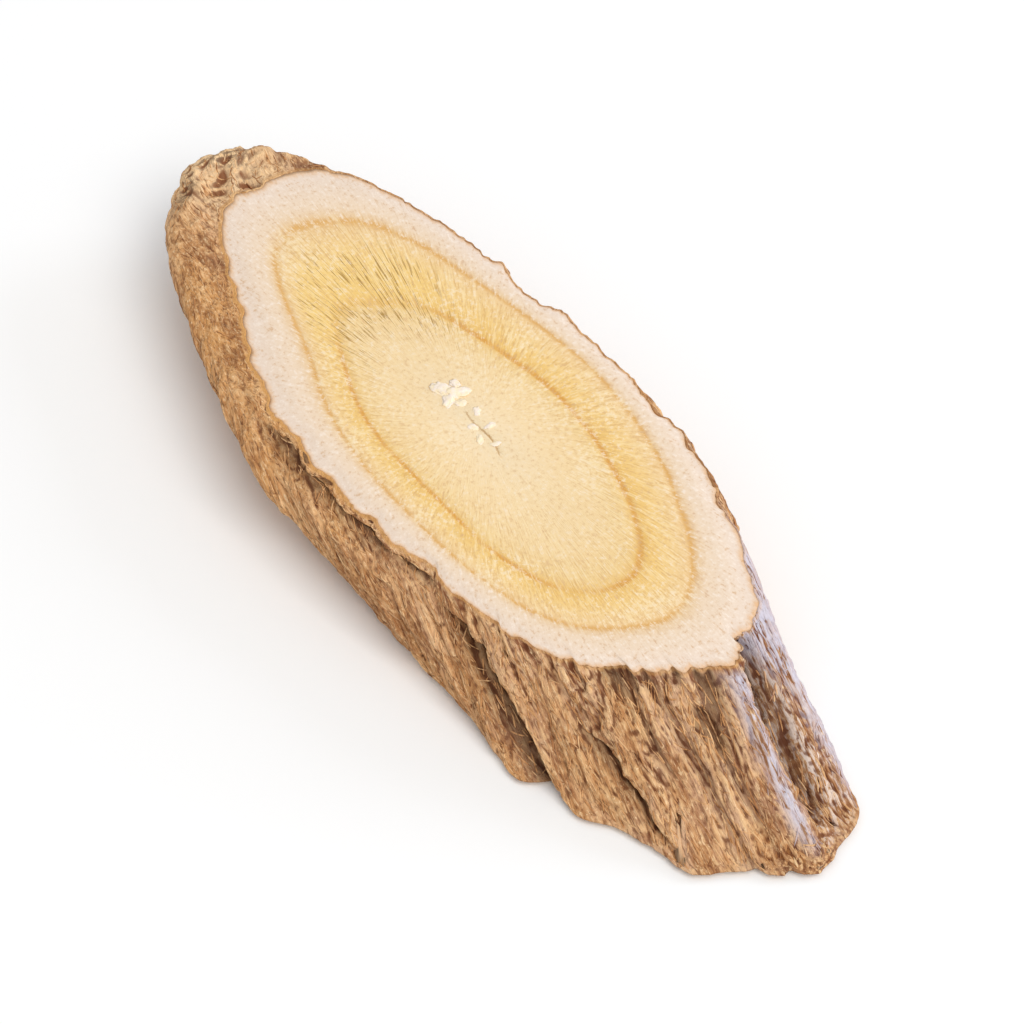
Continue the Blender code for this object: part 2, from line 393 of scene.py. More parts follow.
def dress(piece, material):
    """Gives a piece its material and its place in the frame."""
    piece.data.materials.append(material)
    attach(piece, "root")
    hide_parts("root_slice")


def screen(red, green, blue):
    """A colour given as it looks on a screen, 0 to 255, as the shader wants it."""
    shares = (value / 255.0 for value in (red, green, blue))
    return (*(((s + 0.055) / 1.055) ** 2.4 if s > 0.04045 else s / 12.92 for s in shares), 1.0)


class Signal:
    """The output of a shader node. Arithmetic on it adds Math nodes."""

    tree = None

    def __init__(self, socket):
        self.socket = socket

    @classmethod
    def node(cls, kind, settings, sockets, output=0):
        """Adds a node with its settings, then fills its sockets with values or signals."""
        made = cls.tree.nodes.new(kind)
        for name, value in settings.items():
            if name == "stops":
                for place, colour in value[1:-1]:
                    made.color_ramp.elements.new(place)
                for element, (place, colour) in zip(made.color_ramp.elements, value):
                    element.position, element.color = place, colour
            else:
                setattr(made, name, value)
        for name, value in sockets.items():
            if isinstance(value, Signal):
                cls.tree.links.new(value.socket, made.inputs[name])
            else:
                made.inputs[name].default_value = value
        return cls(made.outputs[output])

    def maths(self, operation, other, turned=False):
        """Adds a Math node of this signal and another value, or the other way round."""
        first, second = (other, self) if turned else (self, other)
        return Signal.node("ShaderNodeMath", {"operation": operation}, {0: first, 1: second})

    def __add__(self, other):
        return self.maths("ADD", other)

    __radd__ = __add__

    def __sub__(self, other):
        return self.maths("SUBTRACT", other)

    def __rsub__(self, other):
        return self.maths("SUBTRACT", other, True)

    def __mul__(self, other):
        return self.maths("MULTIPLY", other)

    __rmul__ = __mul__

    def axis(self, number):
        """One of the three numbers that a place is made of."""
        return Signal.node("ShaderNodeSeparateXYZ", {}, {0: self}, number)

    def between(self, zero_at, one_at):
        """0 up to one value, 1 from another on, and an even S curve between them."""
        curve = {"interpolation_type": "SMOOTHSTEP"}
        sockets = {0: self, 1: zero_at, 2: one_at, 3: 0.0, 4: 1.0}
        return Signal.node("ShaderNodeMapRange", curve, sockets)


def blend(share, first, second):
    """A colour between two, which share moves from the first to the second."""
    return Signal.node("ShaderNodeMix", {"data_type": "RGBA"}, {0: share, 6: first, 7: second}, 2)


def kept(name):
    """Three signals, one for each number that the piece keeps on its points."""
    stored = Signal.node("ShaderNodeAttribute", {"attribute_name": name}, {}, 1)
    return [stored.axis(number) for number in range(3)]


def place_in_piece():
    """Where a point lies, in metres."""
    return Signal.node("ShaderNodeTexCoord", {}, {}, 3)


def place_along_root(across, along):
    """Where a point lies, with its own number of waves a metre across the root and along it."""
    turn = (0.0, math.asin(-ROOT_AXIS[2]), math.atan2(ROOT_AXIS[1], ROOT_AXIS[0]))
    size = (1.0 / along, 1.0 / across, 1.0 / across)
    sockets = {0: place_in_piece(), 2: turn, 3: size}
    return Signal.node("ShaderNodeMapping", {"vector_type": "TEXTURE"}, sockets)


def mottle(place, detail=3.0, roughness=0.55, distortion=0.0, scale=1.0):
    """A noise pattern's value, about 0.25 to 0.75."""
    sockets = {"Vector": place, "Scale": scale, "Detail": detail}
    sockets.update({"Roughness": roughness, "Distortion": distortion})
    return Signal.node("ShaderNodeTexNoise", {}, sockets, 0)


def start_material(name, roughness):
    """A new material, and its main shader, with the nodes that follow going into it."""
    material = bpy.data.materials.new(name)
    material.use_nodes = True
    Signal.tree = material.node_tree
    shader = material.node_tree.nodes["Principled BSDF"]
    shader.inputs["Roughness"].default_value = roughness
    shader.inputs["Specular IOR Level"].default_value = 0.3
    return material, shader


def finish_surface(shader, colour, height, strength, distance):
    """Gives the shader its colour, and a bump from a height signal."""
    bump_sockets = {"Strength": strength, "Distance": distance, "Height": height}
    bump = Signal.node("ShaderNodeBump", {}, bump_sockets)
    Signal.tree.links.new(colour.socket, shader.inputs["Base Color"])
    Signal.tree.links.new(bump.socket, shader.inputs["Normal"])


BARK_TAN = screen(204, 150, 98)
BARK_RUSSET = screen(220, 160, 95)
BARK_UMBER = screen(142, 84, 48)
BARK_GREY = screen(214, 171, 136)
BARK_PALE = screen(240, 196, 144)
BARK_STRAW = screen(250, 216, 170)
BARK_DARK = screen(112, 63, 36)
# Painted shade in the bark's folds and pits.
SHADE_BROWN = screen(70, 34, 13)
CORK_EDGE = screen(222, 166, 100)
TOE_ORANGE = screen(212, 146, 78)
KNOB_CREAM = screen(255, 222, 178)
TROUGH_PALE = screen(236, 218, 206)
# A painted cool sheen on the ridges of the toe.
SHEEN_GREY = screen(212, 208, 222)


def bark_material():
    """Brown cork with pale strands, torn ends and a thin cut edge. Shade is painted in its
    hollows and under its upper edge, light on its crests and a cool sheen on two ridges.
    """
    material, shader = start_material("bark_cork", 0.85)
    near_hollow, wide_hollow, hollow = kept("relief")
    knob, toe, sheen = kept("region")
    below_edge, left, trough = kept("strip")
    patches = mottle(place_along_root(420.0, 160.0), 3.0)
    streaks = mottle(place_along_root(950.0, 110.0), 3.0, 0.6, 0.4)
    fibres = mottle(place_along_root(5200.0, 620.0), 3.0, 0.62, 0.5)
    threads = mottle(place_along_root(9000.0, 1300.0), 2.0, 0.6, 0.8)
    specks = mottle(place_along_root(4200.0, 3000.0), 3.0, 0.7)
    calm = 1.0 - left * 0.2 - knob * 0.2
    strands = fibres * 0.6 + streaks * 0.4
    near_edge = below_edge.between(1.9, 0.3) * (1.0 - left * 0.6)
    colour = blend(patches.between(0.40, 0.60), BARK_TAN, BARK_GREY)
    colour = blend(left * 0.8, colour, BARK_RUSSET)
    # Dark streaks of the bark's own, made darker near the upper cut edge, where shade under the
    # bast is painted; fibres and streaks near that edge are darkened as painted shade too.
    stain_and_edge_shade = streaks.between(0.54, 0.40) * (0.5 + near_edge * 0.45) * (1.0 - left * 0.35)
    colour = blend(stain_and_edge_shade, colour, BARK_UMBER)
    colour = blend(near_edge * fibres.between(0.56, 0.44) * 0.4 * calm, colour, BARK_UMBER)
    colour = blend(streaks.between(0.54, 0.66) * 0.4, colour, BARK_PALE)
    # Painted highlight: spots raised above the bark's small relief are made paler.
    colour = blend(near_hollow.between(0.48, 0.15) * 0.5 * calm, colour, BARK_PALE)
    colour = blend(fibres.between(0.52, 0.66) * 0.75 * calm, colour, BARK_PALE)
    colour = blend(threads.between(0.56, 0.68) * 0.7 * calm, colour, BARK_STRAW)
    colour = blend(near_edge * streaks.between(0.47, 0.38) * 0.5 * calm, colour, BARK_DARK)
    colour = blend(knob * 0.8, colour, KNOB_CREAM)
    colour = blend(toe * 0.7 + trough * 0.2, colour, BARK_UMBER)
    colour = blend(trough * strands.between(0.47, 0.55) * 0.85, colour, TROUGH_PALE)
    flecks = specks.between(0.60, 0.68) * near_hollow.between(0.58, 0.40)
    colour = blend(flecks * 0.8, colour, BARK_STRAW)
    colour = blend(fibres.between(0.48, 0.36) * 0.6 * calm, colour, BARK_DARK)
    colour = blend(specks.between(0.42, 0.30) * 0.45, colour, BARK_DARK)
    # Painted shade: hollows of the small and the wider relief are darkened, most in the trough,
    # and the deep folds, pits and the hollow beside the long ridge darker still.
    colour = blend(near_hollow.between(0.54, 0.95) * (0.8 - knob * 0.3), colour, BARK_DARK)
    shaded = 0.6 + trough * 0.3 - knob * 0.4
    colour = blend(wide_hollow.between(0.55, 0.95) * shaded, colour, BARK_DARK)
    colour = blend(hollow * (0.65 + near_edge * 0.2), colour, SHADE_BROWN)
    colour = blend(toe * specks.between(0.44, 0.62) * 0.6, colour, TOE_ORANGE)
    knob_shade = (wide_hollow + specks * 0.5).between(0.80, 1.3)
    colour = blend(knob * knob_shade * 0.8, colour, BARK_UMBER)
    torn_light = specks.between(0.46, 0.58) * near_hollow.between(0.70, 0.45)
    colour = blend((knob + toe) * torn_light * 0.9, colour, BARK_PALE)
    torn_threads = torn_light * threads.between(0.46, 0.60)
    colour = blend((knob + toe * 0.6) * torn_threads, colour, BARK_STRAW)
    # Painted cool sheen: the two ridges of the toe are tinted a pale blue-grey.
    colour = blend(sheen * strands.between(0.40, 0.50) * 0.9, colour, SHEEN_GREY)
    edge = (below_edge + specks * 0.4).between(0.38, 0.22)
    colour = blend(edge * (left * 0.6 + 0.3), colour, CORK_EDGE)
    height = fibres * 0.7 + threads * 0.4 + specks * 0.4
    finish_surface(shader, colour, height, 0.9, 0.20 * MM)
    return material


turns = np.linspace(-math.pi, math.pi, AROUND, endpoint=False)
columns = np.degrees(turns + COLUMN_SPREAD * np.sin(2.0 * turns))
row_share = np.linspace(0.0, 1.0, BARK_ROWS)[:, None]
row_crowding = ROW_CROWDING + ROW_CROWDING_AT_LIP * np.clip(lip_share(columns), 0.0, 1.0)
bark_depth = row_share**row_crowding
bark_angle = np.broadcast_to(columns, bark_depth.shape)
bark_folds, bark_hollow = bark_shape(bark_angle, bark_depth)
inward = np.pad(-oval(columns)[1], ((0, 0), (0, 1)))
row_steps = np.diff(bark_folds, axis=0, prepend=bark_folds[:1])
below_edge = np.linalg.norm(row_steps, axis=-1).cumsum(0)
level_share = smooth(LEVEL_BAND, 0.0, below_edge) + smooth(0.95, 1.0, bark_depth)
bark_out = outward_from(bark_folds)
bark_out = bark_out * (1.0 - level_share[..., None]) - inward * level_share[..., None]
bark_out = bark_out / np.linalg.norm(bark_out, axis=-1, keepdims=True)
fine_height = bark_relief(bark_angle, bark_depth, bark_folds)
bark_points = below_top(bark_folds + bark_out * fine_height[..., None])
upper_edge, lower_edge = bark_points[0], bark_points[-1]
cork_width = CORK_WIDTH * (1.0 + CORK_WIDTH_CHANGE * grain(upper_edge * 1100.0))[:, None]
skin_rows = np.linspace(LAST_SUNK_ROW, FIRST_SUNK_ROW, SKIN_ROWS).astype(int)
bark_rings = np.stack(
    (
        *bark_points,
        lower_edge + inward * cork_width * 0.5 - UP * LOWER_BEAD,
        lower_edge + inward * cork_width * 2.0 + UP * LOWER_BEAD,
        *sunk(skin_rows, SKIN_DEPTH),
        upper_edge + inward * cork_width - UP * CORK_DROP,
        upper_edge + inward * cork_width * 0.8 + UP * CORK_BEAD * 0.3,
        upper_edge + inward * cork_width * 0.4 + UP * CORK_BEAD,
    )
)
fold_hollow = smooth(*FOLD_HOLLOW_SPAN, bark_hollow)
bark_values = {
    # How far each point lies under its near and its wider neighbours, and how deep its fold or
    # pit is, for painted shade in hollows and a painted highlight on crests.
    "relief": (
        np.clip(0.5 + hollowness(fine_height, 2) / NEAR_HOLLOW_DEPTH, 0.0, 1.0),
        np.clip(0.5 + hollowness(fine_height, 6) / WIDE_HOLLOW_DEPTH, 0.0, 1.0),
        np.maximum(fold_hollow, 0.85 * shade_share(bark_angle, bark_depth)),
    ),
    "region": (
        knob_share(bark_angle, bark_depth),
        toe_share(bark_angle, bark_depth),
        # The two ridges of the toe, where a cool sheen is painted.
        ridge_share(bark_angle, bark_depth),
    ),
    "strip": (
        np.minimum(below_edge / MM, 2.0),
        hump(turn_between(bark_angle, -118.0), 48.0),
        trough_share(bark_angle, bark_depth),
    ),
}
rows_within = len(bark_rings) - BARK_ROWS - BEAD_ROWS
value_rows = np.r_[0:BARK_ROWS, [BARK_ROWS - 1] * rows_within, [0] * BEAD_ROWS]
split_near, split_far = (int(np.argmin(np.abs(turn_between(columns, at)))) for at in BARK_SPLITS)
bark_lengths = {
    "bark_near": np.r_[split_far:AROUND, 0 : split_near + 1],
    "bark_far": np.r_[split_near : split_far + 1],
}
bark_cork = bark_material()
for bark_name, bark_columns in bark_lengths.items():
    bark = made_of_grid(bark_name, bark_rings[:, bark_columns], 0)
    for value_name, values in bark_values.items():
        picked = [value[value_rows][:, bark_columns].reshape(-1) for value in values]
        keep_on_points(bark, value_name, *picked)
    dress(bark, bark_cork)

# The cut wood: pale bast under the bark, a thin ochre cambium, yellow wood with fine rays, an
# older ochre ring and a beige core with a split in its pith. The knife laid it open above and
# below, so it is one closed body whose two faces show, with its sides hidden behind the bark.
PITH_OFFSET = np.array((0.3 * MM, -0.2 * MM))
# Levels of growth run from 0 at the pith to 1 at the bark.
RING_LEVELS = (0.555, 0.785)
RING_SPREAD = 0.018
# A shift of a ring: its waves round the root, its share of the radius, the angle of a crest.
INNER_RING_SHIFT = ((1, 0.080, -29.0), (2, 0.013, 2.0), (3, 0.027, -21.8))
OUTER_RING_SHIFT = ((1, 0.023, 52.0), (2, 0.025, -39.0), (3, 0.023, -41.9), (4, 0.016, 8.8))
RING_DEPTH = 0.04 * MM
FACE_WAVES = 120.0
FACE_WAVE_HEIGHT = 0.10 * MM
SPLIT_START = UPPER_CENTRE + PITH_OFFSET + (0.8 * MM, -0.1 * MM)
SPLIT_HALF_LENGTH = 2.0 * MM
SPLIT_HALF_WIDTH = 0.06 * MM
SPLIT_DEPTH = 0.08 * MM
SPLIT_WANDER = 0.16 * MM
SPLIT_WAVES = 1500.0
SPLIT_PHASE = 0.6
SPLIT_SLANT = 0.10
FLAT_SHARE = 0.60
UPPER_RINGS = 60
UPPER_START = 0.012
UPPER_CROWDING = 0.9
LOWER_RINGS = 24
LOWER_END = 0.02
HIDDEN_ROWS = 8
WOOD_INSET = 0.85 * MM
WOOD_STEP = 2


def ring_shift(angle, waves):
    """How far a ring lies off its usual share, at an angle."""
    return sum(
        share * np.cos(np.radians(count * turn_between(angle, crest)))
        for count, share, crest in waves
    )


def grown_share(level, angle):
    """How far from the pith to the bark a level of growth lies. The rings are off centre."""
    inner, outer = RING_LEVELS
    near_inner = np.interp(level, (0.0, inner, outer), (0.0, 1.0, 0.0))
    near_outer = np.interp(level, (inner, outer, 1.0), (0.0, 1.0, 0.0))
    shift = near_inner * ring_shift(angle, INNER_RING_SHIFT)
    return level + shift + near_outer * ring_shift(angle, OUTER_RING_SHIFT)


def face_rings(edge, middle, levels, angle):
    """Flat rings from the pith out to a wrinkled edge, which smooth out on the way in."""
    level, turned = np.meshgrid(levels, angle, indexing="ij")
    plain = middle + grown_oval(angle)
    rim = plain + (edge - plain) * smooth(0.86, 1.0, level)[..., None]
    pith = middle + PITH_OFFSET
    return pith + (rim - pith) * grown_share(level, turned)[..., None], level


def split_line(along):
    """How far across the split wanders, along its length."""
    return SPLIT_WANDER * np.sin(along * SPLIT_WAVES + SPLIT_PHASE) - SPLIT_SLANT * along


wood_columns = columns[::WOOD_STEP]
wood_inset = (inward * cork_width * 0.5)[::WOOD_STEP]
upper_rim = (upper_edge[::WOOD_STEP] + wood_inset)[:, :2]
lower_rim = (lower_edge[::WOOD_STEP] + wood_inset)[:, :2]
upper_levels = np.linspace(UPPER_START, 1.0, UPPER_RINGS) ** UPPER_CROWDING
upper_flat, upper_level = face_rings(upper_rim, UPPER_CENTRE, upper_levels, wood_columns)
rings = sum(RING_DEPTH * hump(upper_level - ring, RING_SPREAD) for ring in RING_LEVELS)
face_waves = grain(np.pad(upper_flat, ((0, 0), (0, 0), (0, 1))) * FACE_WAVES)
face_waves = FACE_WAVE_HEIGHT * face_waves * (1.0 - upper_level)
along_split, across_split = np.moveaxis(upper_flat - SPLIT_START, -1, 0)
split = hump(across_split - split_line(along_split), SPLIT_HALF_WIDTH)
split = SPLIT_DEPTH * split * smooth(1.0, 0.7, np.abs(along_split) / SPLIT_HALF_LENGTH)
rim_drop = (bark_folds[0, ::WOOD_STEP, 2] - THICKNESS) * smooth(0.88, 1.0, upper_level)
upper_rings = np.dstack((upper_flat, THICKNESS + rim_drop - rings - face_waves - split))

lower_levels = np.linspace(1.0, LOWER_END, LOWER_RINGS)
lower_flat, lower_level = face_rings(lower_rim, UPPER_CENTRE + LEAN, lower_levels, wood_columns)
lower_rise = lower_edge[::WOOD_STEP, 2] * smooth(FLAT_SHARE, 1.0, lower_level)
lower_rings = np.dstack((lower_flat, lower_rise))

hidden_rows = np.linspace(FIRST_SUNK_ROW, LAST_SUNK_ROW, HIDDEN_ROWS).astype(int)
hidden_rings = sunk(hidden_rows, WOOD_INSET)[:, ::WOOD_STEP]
wood = made_of_grid("cut_wood", np.vstack((upper_rings, hidden_rings, lower_rings)), 1)
growth = np.vstack((upper_level, np.ones(hidden_rings.shape[:2]), lower_level))
wood_turn = np.broadcast_to(np.radians(wood_columns), growth.shape)
keep_on_points(wood, "growth", growth, np.cos(wood_turn), np.sin(wood_turn))

GROWTH_COLOURS = (
    (0.00, screen(248, 226, 186)),
    (0.12, screen(247, 222, 180)),
    (0.28, screen(245, 217, 169)),
    (0.42, screen(243, 213, 161)),
    (0.510, screen(240, 207, 147)),
    (0.548, screen(234, 191, 114)),
    (0.590, screen(236, 192, 112)),
    (0.64, screen(241, 202, 130)),
    (0.71, screen(241, 206, 147)),
    (0.764, screen(238, 203, 149)),
    (0.785, screen(222, 170, 96)),
    (0.804, screen(233, 201, 159)),
    (0.84, screen(238, 214, 186)),
    (0.96, screen(236, 216, 198)),
)
BAST_PALE = screen(248, 233, 218)
BAST_SPECK = screen(220, 186, 152)
OLD_RING_OCHRE = screen(218, 154, 62)
CORE_PALE = screen(252, 234, 200)
WOOD_YELLOW = screen(248, 212, 130)
RAY_PALE = screen(253, 232, 184)
RAY_DARK = screen(214, 166, 98)
VESSEL_OLIVE = screen(172, 132, 62)
CRACK_BROWN = screen(188, 138, 72)
CRACK_FRAY = 0.25 * MM
CRACK_SIDE_FADE = (0.08 * MM, 0.02 * MM)
CRACK_END_FADE = (2.1 * MM, 1.7 * MM)


def ray_place(growth_place, rays, rings):
    """Where a point lies, with so many waves round the root and from its pith to its bark."""
    level, round_x, round_y = growth_place
    sockets = {0: round_x * rays, 1: round_y * rays, 2: level * rings}
    return Signal.node("ShaderNodeCombineXYZ", {}, sockets)


def wood_material():
    """Cut wood, coloured by its growth from the pith out, with rays, vessels and a crack."""
    material, shader = start_material("cut_root", 0.75)
    growth_place = kept("growth")
    level, round_x, round_y = growth_place
    place = place_in_piece()
    rays = mottle(ray_place(growth_place, 38.0, 7.0), 3.0, 0.6)
    fine_rays = mottle(ray_place(growth_place, 75.0, 22.0), 3.0, 0.65)
    vessels = mottle(ray_place(growth_place, 62.0, 15.0), 2.0, 0.5)
    specks = mottle(place, 3.0, 0.7, 0.0, 3600.0)
    clouds = mottle(place, 3.0, 0.5, 0.0, 260.0)
    ragged = level + (rays - 0.5) * 0.02 + (fine_rays - 0.5) * 0.04 + (clouds - 0.5) * 0.03
    far_end = round_x.between(-0.55, -0.9)
    in_wood = level.between(0.83, 0.77)
    colour = Signal.node("ShaderNodeValToRGB", {"stops": GROWTH_COLOURS}, {0: ragged})
    yellow = level.between(0.50, 0.60) * level.between(0.77, 0.66) * (far_end * 0.45 + 0.15)
    colour = blend(yellow, colour, WOOD_YELLOW)
    line = ragged.between(0.538, 0.552) * ragged.between(0.580, 0.560)
    line = line * clouds.between(0.25, 0.50) * (0.85 - far_end * 0.65)
    colour = blend(line, colour, OLD_RING_OCHRE)
    ray_share = level.between(0.08, 0.60) * in_wood
    patchy = clouds * 0.4 + specks * 0.6
    colour = blend(patchy.between(0.50, 0.62) * in_wood * 0.45, colour, CORE_PALE)
    colour = blend(specks.between(0.46, 0.32) * in_wood * 0.3, colour, RAY_DARK)
    colour = blend(rays.between(0.50, 0.66) * ray_share * 0.4, colour, RAY_PALE)
    colour = blend(fine_rays.between(0.48, 0.33) * ray_share * 0.55, colour, RAY_DARK)
    colour = blend(fine_rays.between(0.53, 0.68) * ray_share * 0.35, colour, RAY_PALE)
    vessel_zone = level.between(0.34, 0.48) * level.between(0.77, 0.66)
    dark_vessels = vessels.between(0.44, 0.35) * vessel_zone * (far_end * 0.8 + 0.12)
    colour = blend(dark_vessels, colour, VESSEL_OLIVE)
    speck_share = 1.0 - in_wood * 0.6
    bast_grain = specks * 0.65 + fine_rays * 0.35
    colour = blend(bast_grain.between(0.50, 0.66) * speck_share * 0.8, colour, BAST_PALE)
    colour = blend(bast_grain.between(0.47, 0.34) * speck_share, colour, BAST_SPECK)
    rim_tint = (level + (fine_rays - 0.5) * 0.05).between(0.966, 1.004)
    colour = blend(rim_tint * 0.7, colour, CORK_EDGE)
    along = place.axis(0) - float(SPLIT_START[0])
    across = place.axis(1) - float(SPLIT_START[1])
    wander = (along * SPLIT_WAVES + SPLIT_PHASE).maths("SINE", 0.0) * SPLIT_WANDER
    off_split = across - (wander - along * SPLIT_SLANT) + (specks - 0.5) * CRACK_FRAY
    crack = off_split.maths("ABSOLUTE", 0.0).between(*CRACK_SIDE_FADE)
    crack = crack * along.maths("ABSOLUTE", 0.0).between(*CRACK_END_FADE)
    colour = blend(crack * rays.between(0.40, 0.50) * 0.7, colour, CRACK_BROWN)
    height = specks * 0.5 + fine_rays * 0.6 + vessels * 0.3
    finish_surface(shader, colour, height, 0.45, 0.09 * MM)
    return material


dress(wood, wood_material())

# The fibres: ends of bast fibre and slivers of cork that the drying and the knife left on the
# bark. They lie along the root, and at wider angles on the torn knob, with a few standing up.
FIBRE_TRIES = 90000
FIBRES = 5600
FIBRE_SAMPLES = 6
FIBRE_LENGTHS = (0.5 * MM, 1.7 * MM)
FIBRE_RADII = (0.035 * MM, 0.085 * MM)
HEADING_SPREAD = 0.22
HEADING_SPREAD_ON_KNOB = 0.5
BEND_SPREAD = 0.12
LOOSE_SHARE = 0.04
LOOSE_LIFT = 0.12 * MM


def on_grid(values, row, column):
    """Values of a grid whose columns go round the root, at places between its cells."""
    row = np.clip(row, 0.0, len(values) - 1.001)
    low_row, low_column = np.floor(row).astype(int), np.floor(column).astype(int)
    down, across = (row - low_row)[..., None], (column - low_column)[..., None]
    here, there = low_column % values.shape[1], (low_column + 1) % values.shape[1]
    upper = values[low_row, here] * (1.0 - across) + values[low_row, there] * across
    lower = values[low_row + 1, here] * (1.0 - across) + values[low_row + 1, there] * across
    return upper * (1.0 - down) + lower * down


def made_of_strands(name, paths, out, radii):
    """Three-sided strands that follow paths, given the way out of the bark at each point."""
    count, samples = radii.shape
    side = np.cross(np.gradient(paths, axis=1), out)
    side = side / np.linalg.norm(side, axis=-1, keepdims=True)
    around = np.radians((90.0, 210.0, 330.0))[:, None]
    ways = np.sin(around) * out[:, :, None] + np.cos(around) * side[:, :, None]
    points = paths[:, :, None] + ways * radii[..., None, None]
    index = np.arange(count * samples * 3).reshape(count, samples, 3)
    turned = np.roll(index, -1, axis=2)
    quads = np.stack((index[:, :-1], turned[:, :-1], turned[:, 1:], index[:, 1:]), -1)
    faces = quads.reshape(-1, 4).tolist() + index[:, 0, ::-1].tolist() + index[:, -1].tolist()
    return made_of_faces(name, points.reshape(-1, 3), faces)


draw = np.random.default_rng(7)
row_size = np.linalg.norm(np.gradient(bark_points, axis=0), axis=-1, keepdims=True)
column_steps = np.roll(bark_points, -1, axis=1) - bark_points
column_size = np.linalg.norm(column_steps, axis=-1, keepdims=True)
first_row = draw.random((FIBRE_TRIES, 1)) * (BARK_ROWS - 6) + 2.0
first_column = draw.random((FIBRE_TRIES, 1)) * AROUND
cell_there = on_grid(row_size * column_size, first_row, first_column)[:, 0]
fibre_depth = on_grid(bark_depth[..., None], first_row, first_column)[..., 0]
fibre_angle = columns[first_column.astype(int) % AROUND]
on_knob = knob_share(fibre_angle, fibre_depth)
in_trough = trough_share(fibre_angle, fibre_depth)
torn_share = on_knob + toe_share(fibre_angle, fibre_depth) + 0.3 * in_trough
torn_share = np.clip(torn_share, 0.0, 1.0)
fibre_length = draw.uniform(*FIBRE_LENGTHS, first_row.shape) * (1.0 - 0.35 * torn_share)
heading = draw.normal(0.0, HEADING_SPREAD + HEADING_SPREAD_ON_KNOB * on_knob)
step = np.linspace(0.0, 1.0, FIBRE_SAMPLES)
bend = draw.normal(0.0, BEND_SPREAD, heading.shape) * step**2

# Each fibre's reach over the bark is turned into rows and columns of the bark's grid.
down_way = on_grid(np.gradient(bark_points, axis=0), first_row, first_column)
round_way = np.roll(bark_points, -1, axis=1) - np.roll(bark_points, 1, axis=1)
round_way = on_grid(round_way / 2.0, first_row, first_column)
out_there = on_grid(bark_out, first_row, first_column)
axis_way = ROOT_AXIS - out_there * (out_there @ ROOT_AXIS)[..., None]
axis_way = axis_way / np.linalg.norm(axis_way, axis=-1, keepdims=True)
side_way = np.cross(out_there, axis_way)
reach = (np.cos(heading) * step)[..., None] * axis_way
reach = (reach + (np.sin(heading) * step + bend)[..., None] * side_way) * fibre_length[..., None]
down_down, round_round = (down_way**2).sum(-1), (round_way**2).sum(-1)
down_round = (down_way * round_way).sum(-1)
skew = down_down * round_round - down_round**2
reach_down, reach_round = (reach * down_way).sum(-1), (reach * round_way).sum(-1)
rows_on = first_row + (reach_down * round_round - reach_round * down_round) / skew
columns_on = first_column + (reach_round * down_down - reach_down * down_round) / skew

# Those that stay on the bark are thinned to an even cover, which is denser on the knob and
# sparser in the trough and in the dark hollow beside the long ridge.
fits = (rows_on.max(1) < BARK_ROWS - 2) & (rows_on.min(1) > 1)
wanted = cell_there * (1.0 + 0.4 * on_knob)
wanted = wanted * (1.0 - 0.6 * in_trough)
wanted = wanted * (1.0 - 0.7 * shade_share(fibre_angle, fibre_depth))
fits &= draw.random(FIBRE_TRIES) < wanted[:, 0] / wanted.max()
chosen = np.flatnonzero(fits)[:FIBRES]
rows_on, columns_on, torn_share = rows_on[chosen], columns_on[chosen], torn_share[chosen]
fibre_radius = draw.uniform(*FIBRE_RADII, torn_share.shape) * (1.0 + 0.7 * torn_share)
fibre_radius = fibre_radius * (1.0 - 0.35 * lip_share(fibre_angle)[chosen])
fibre_taper = np.sqrt(np.sin(math.pi * (0.06 + 0.88 * step)))
loose = draw.random(torn_share.shape) < LOOSE_SHARE
loose = loose * draw.random(torn_share.shape) * LOOSE_LIFT
fibre_lift = fibre_radius * (0.1 - 1.2 * (2.0 * step - 1.0) ** 4) + loose * step**3
fibre_out = on_grid(bark_out, rows_on, columns_on)
fibre_roots = on_grid(bark_points, rows_on, columns_on)
fibre_paths = below_top(fibre_roots + fibre_out * fibre_lift[..., None])
fibres = made_of_strands("bark_fibres", fibre_paths, fibre_out, fibre_radius * fibre_taper)
fibre_sheen = ridge_share(fibre_angle, fibre_depth)[chosen, 0]
fibre_values = (draw.random(len(chosen)), fibre_sheen, torn_share[:, 0])
keep_on_points(fibres, "fibre", *(np.repeat(value, FIBRE_SAMPLES * 3) for value in fibre_values))


def fibre_material():
    """The bark's own browns, with paler strands, and a painted cool sheen on those that lie on
    the two ridges.
    """
    material, shader = start_material("bark_fibre", 0.8)
    tint, sheen_share, torn = kept("fibre")
    specks = mottle(place_along_root(5200.0, 1800.0), 2.0, 0.6)
    streaks = mottle(place_along_root(950.0, 110.0), 3.0, 0.6, 0.4)
    colour = blend(tint.between(0.2, 1.0), BARK_TAN, BARK_PALE)
    colour = blend(streaks.between(0.54, 0.40) * 0.45, colour, BARK_UMBER)
    colour = blend(tint.between(0.6, 1.0) * (torn * 0.75 + 0.15), colour, BARK_STRAW)
    colour = blend(specks.between(0.50, 0.36) * 0.7, colour, BARK_DARK)
    # Painted cool sheen on fibres that lie on the two ridges.
    colour = blend(sheen_share * 0.7, colour, SHEEN_GREY)
    finish_surface(shader, colour, specks, 0.4, 0.05 * MM)
    return material


dress(fibres, fibre_material())

# The torn pith: the soft pith tore out in pale crumbs along the split, most of them at one end,
# where they still lie half sunk in the cut face.
CRUMB_PROPORTIONS = (1.0, 0.62, 0.20)
CRUMB_LIFT = 0.02 * MM
# A crumb: its place from the middle of the face and its size, in millimetres, and its turn.
PITH_CRUMBS = (
    (-2.95, -0.40, 0.66, 20.0),
    (-2.35, 0.15, 0.72, 75.0),
    (-2.10, -0.55, 0.56, 130.0),
    (-1.55, -0.10, 0.40, 50.0),
    (-2.95, 0.45, 0.38, 10.0),
    (-0.55, 0.30, 0.34, 160.0),
    (0.35, -0.55, 0.34, 30.0),
    (0.80, 0.25, 0.36, 95.0),
    (1.35, -0.75, 0.32, 150.0),
    (2.10, -0.20, 0.26, 70.0),
)


